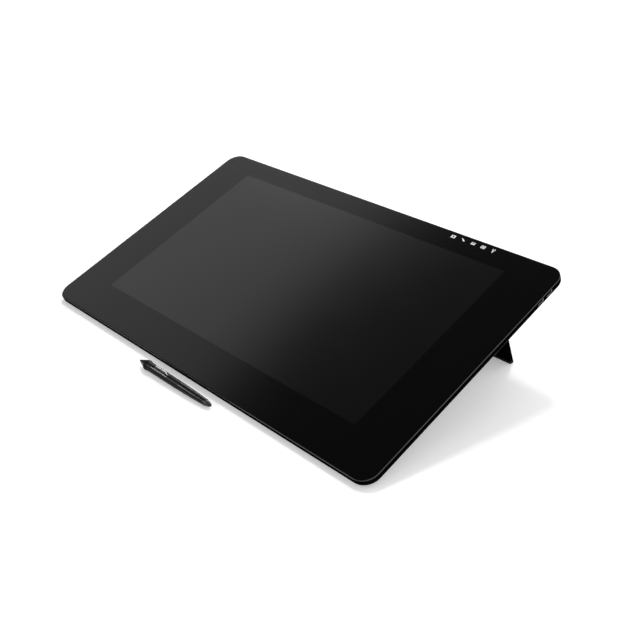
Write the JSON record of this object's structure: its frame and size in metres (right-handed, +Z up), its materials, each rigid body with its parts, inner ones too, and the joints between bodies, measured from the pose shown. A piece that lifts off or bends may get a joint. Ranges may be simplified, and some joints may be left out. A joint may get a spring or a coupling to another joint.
{
  "type": "graphics tablet with screen",
  "caption": "Flat glass pen display leaning on fold-out legs, with side sockets, port bay, arm mount and a pen lying before it, for drawing on the screen.",
  "frame": {"origin": "middle of the front foot's sole, on the desk", "axes": "+X to the user's right along the front edge, +Y to the back, +Z up from the desk"},
  "size_m": [0.677, 0.4006, 0.1444],
  "materials": {
    "etched_glass": "etched matte cover glass, black printed behind",
    "bonding_tape": "black foam tape",
    "anodised_aluminium": "black anodised, bright cut chamfer",
    "screen_sheet": "screen sheet, switched off",
    "clear_acrylic": "clear moulded light guide",
    "lamp_strip": "white lamp strip",
    "chassis_aluminium": "plain rolled sheet",
    "plated_steel": "zinc plated sheet and fasteners",
    "socket_shell": "nickel plated shells",
    "foam": "black foam",
    "circuit_board": "green solder mask",
    "board_components": "moulded packages",
    "aluminium_sink": "extruded fins",
    "flat_cable": "amber film cable",
    "cover_plastic": "fine moulded grain, black",
    "button_plastic": "black moulded",
    "arm_plate_steel": "black powder coat",
    "foot_rubber": "soft black rubber",
    "fan_plastic": "black moulded",
    "leg_metal": "black powder coated die casting",
    "washer_bronze": "bronze friction washers",
    "pen_plastic": "black moulded barrel",
    "pen_rubber": "black rubber grip",
    "pen_key": "satin black switch",
    "pen_tip": "hard black tip",
    "pen_works": "coil and circuit of the pen",
    "white_ink": "white printed signs on the glass"
  },
  "bodies": {
    "tablet": {"cover_glass": "etched_glass", "glass_tape": "bonding_tape", "bezel_frame": "anodised_aluminium", "lcd_panel": "screen_sheet", "light_guide": "clear_acrylic", "led_bar": "lamp_strip", "chassis_plate": "chassis_aluminium", "backlight_tray": "plated_steel", "digitizer_shield": "plated_steel", "chassis_screws": "plated_steel", "cover_screws": "plated_steel", "board_screws": "plated_steel", "leg_left_bracket": "plated_steel", "leg_left_pin": "plated_steel", "leg_right_bracket": "plated_steel", "leg_right_pin": "plated_steel", "hinge_screws": "plated_steel", "hdmi_socket": "socket_shell", "displayport_socket": "socket_shell", "usb_c_socket": "socket_shell", "usb_sockets_right": "socket_shell", "usb_sockets_left": "socket_shell", "foam_pad": "foam", "digitizer_board": "circuit_board", "touch_key_board": "circuit_board", "main_board": "circuit_board", "panel_driver_board": "circuit_board", "power_board": "circuit_board", "io_board": "circuit_board", "usb_boards": "circuit_board", "board_parts": "board_components", "power_switch": "board_components", "dc_socket": "board_components", "heat_sink": "aluminium_sink", "display_flex": "flat_cable", "rear_cover": "cover_plastic", "arm_mount_plate": "arm_plate_steel", "front_foot": "foot_rubber", "rear_feet": "foot_rubber", "fan_housing_left": "fan_plastic", "fan_housing_right": "fan_plastic", "hinge_washers": "washer_bronze"},
    "left_leg": {"leg_left": "leg_metal", "leg_left_pad": "foot_rubber"},
    "right_leg": {"leg_right": "leg_metal", "leg_right_pad": "foot_rubber"},
    "power_key": {"power_button": "button_plastic"},
    "port_lid": {"port_cover": "cover_plastic"},
    "left_fan": {"fan_rotor_left": "fan_plastic"},
    "right_fan": {"fan_rotor_right": "fan_plastic"},
    "pen": {"pen_cone": "pen_plastic", "pen_grip": "pen_rubber", "pen_body": "pen_plastic", "pen_rocker_pin": "plated_steel", "pen_core": "pen_works"},
    "nib": {"pen_nib": "pen_tip"},
    "eraser": {"pen_eraser": "pen_tip"},
    "rocker": {"pen_rocker": "pen_key"}
  },
  "joints": [
    {"name": "left_leg_fold", "type": "hinge", "parent": "tablet", "child": "left_leg", "pos_m": [-0.248, 0.28481, 0.0846], "axis": [1, 0, 0], "range_deg": [-95, 0]},
    {"name": "right_leg_fold", "type": "hinge", "parent": "tablet", "child": "right_leg", "pos_m": [0.248, 0.28481, 0.0846], "axis": [1, 0, 0], "range_deg": [-95, 0]},
    {"name": "power_button_press", "type": "slide", "parent": "tablet", "child": "power_key", "axis": [0, -0.9397, -0.342], "range_m": [0, 0.0006], "stiffness_N_per_m": 1500, "springref_m": -0.0004},
    {"name": "port_cover_release", "type": "slide", "parent": "tablet", "child": "port_lid", "axis": [0, 0.2588, -0.9659], "range_m": [0, 0.03]},
    {"name": "left_fan_spin", "type": "hinge", "parent": "tablet", "child": "left_fan", "pos_m": [-0.15, 0.2532, 0.09325], "axis": [0, -0.342, 0.9397], "continuous": true},
    {"name": "right_fan_spin", "type": "hinge", "parent": "tablet", "child": "right_fan", "pos_m": [0.15, 0.2532, 0.09325], "axis": [0, -0.342, 0.9397], "continuous": true},
    {"name": "pen_lift", "type": "slide", "parent": "tablet", "child": "pen", "axis": [0, 0, 1], "range_m": [0, 0.12]},
    {"name": "pen_nib_press", "type": "slide", "parent": "pen", "child": "nib", "axis": [0.9998, 0.014, -0.0174], "range_m": [0, 0.0005], "stiffness_N_per_m": 2000, "springref_m": -0.0003},
    {"name": "pen_eraser_press", "type": "slide", "parent": "pen", "child": "eraser", "axis": [-0.9998, -0.014, 0.0174], "range_m": [0, 0.0005], "stiffness_N_per_m": 2000, "springref_m": -0.0003},
    {"name": "pen_rocker_tilt", "type": "hinge", "parent": "pen", "child": "rocker", "pos_m": [-0.02695, -0.04063, 0.00993], "axis": [-0.0114, 0.9902, 0.1392], "range_deg": [-2.5, 2.5], "stiffness_Nm_per_rad": 0.4}
  ]
}
